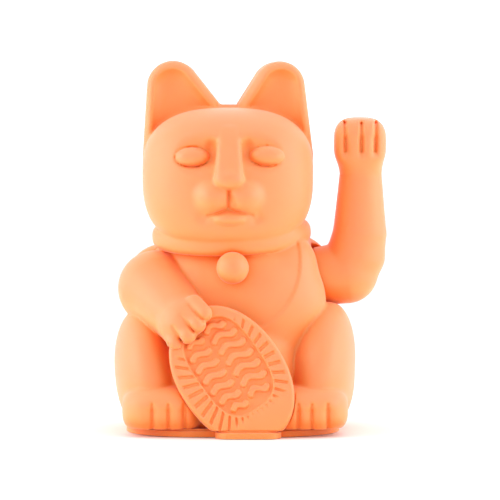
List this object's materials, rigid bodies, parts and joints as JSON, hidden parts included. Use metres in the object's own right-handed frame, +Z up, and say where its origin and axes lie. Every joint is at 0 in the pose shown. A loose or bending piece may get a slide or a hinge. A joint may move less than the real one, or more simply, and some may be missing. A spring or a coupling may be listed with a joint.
{
  "type": "beckoning cat figurine",
  "caption": "Seated beckoning cat figurine holding an oval coin, with one raised arm that swings on a battery-driven pendulum inside the hollow body.",
  "frame": {"origin": "centre of the base plate's underside, which rests on the table", "axes": "+Z up, the cat faces -Y, and the waving arm is on the +X side"},
  "size_m": [0.1071, 0.0854, 0.1455],
  "materials": {
    "peach_plastic": "satin",
    "white_plastic": "satin",
    "screw_steel": "polished",
    "weight_steel": "satin",
    "magnet_plating": "polished",
    "board_laminate": "gloss",
    "copper_wire": "gloss",
    "black_plastic": "matte",
    "capacitor_sleeve": "gloss",
    "resistor_body": "satin",
    "cell_jacket": "gloss",
    "contact_metal": "polished",
    "red_lead": "satin",
    "black_lead": "satin"
  },
  "bodies": {
    "cat": {"front_shell": "peach_plastic", "rear_shell": "peach_plastic", "bell": "peach_plastic", "coin": "peach_plastic", "base_plate": "peach_plastic", "base_screws": "screw_steel", "drive_frame": "white_plastic", "frame_screws": "screw_steel", "pivot_pin": "screw_steel", "circuit_board": "board_laminate", "coil_bobbin": "white_plastic", "coil_winding": "copper_wire", "transistor": "black_plastic", "capacitor": "capacitor_sleeve", "resistors": "resistor_body", "aa_cell": "cell_jacket", "spring_contact": "contact_metal", "plate_contact": "contact_metal", "positive_lead": "red_lead", "negative_lead": "black_lead"},
    "waving_arm": {"arm_front_half": "peach_plastic", "arm_rear_half": "peach_plastic", "swing_lever": "white_plastic", "counterweight": "weight_steel", "weight_screw": "screw_steel", "drive_magnet": "magnet_plating"},
    "battery_door": {"battery_door": "peach_plastic"}
  },
  "joints": [
    {"name": "arm_swing", "type": "hinge", "parent": "cat", "child": "waving_arm", "pos_m": [0.014, 0.004, 0.06], "axis": [1, 0, 0], "range_deg": [-20, 20]},
    {"name": "battery_door_hinge", "type": "hinge", "parent": "cat", "child": "battery_door", "pos_m": [-0.016, 0.0291, 0.0016], "axis": [1, 0, 0], "range_deg": [0, 85]}
  ]
}
